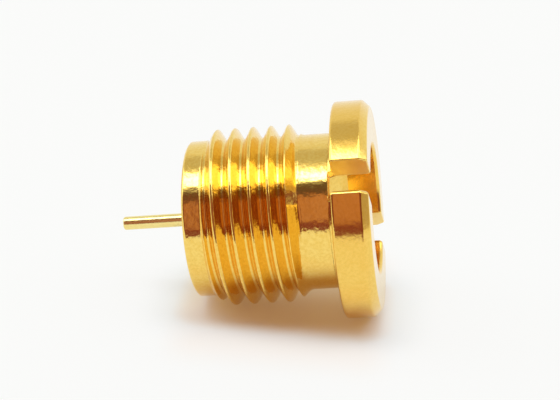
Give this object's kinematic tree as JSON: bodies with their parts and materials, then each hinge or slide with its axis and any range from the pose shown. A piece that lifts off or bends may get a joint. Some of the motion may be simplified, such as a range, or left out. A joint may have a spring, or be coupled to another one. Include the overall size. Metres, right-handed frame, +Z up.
{
  "type": "hermetic coaxial connector",
  "caption": "Small gold-plated thread-in push-on coaxial connector: slotted round flange, threaded shell, and a contact pin fused in a glass seal.",
  "frame": {"origin": "on the connector's axis, in the plane of the flange's seat against the housing", "axes": "+X along the connector's axis, out of the mating face; +Z up; the thread and the rear pin lie along -X"},
  "size_m": [0.0071, 0.006, 0.006],
  "materials": {
    "gold_shell": "bright gold plating",
    "sealing_glass": "fused, glossy",
    "gold_pin": "bright gold plating"
  },
  "bodies": {
    "root": {"shell": "gold_shell", "glass_seal": "sealing_glass", "centre_pin": "gold_pin"}
  },
  "joints": []
}
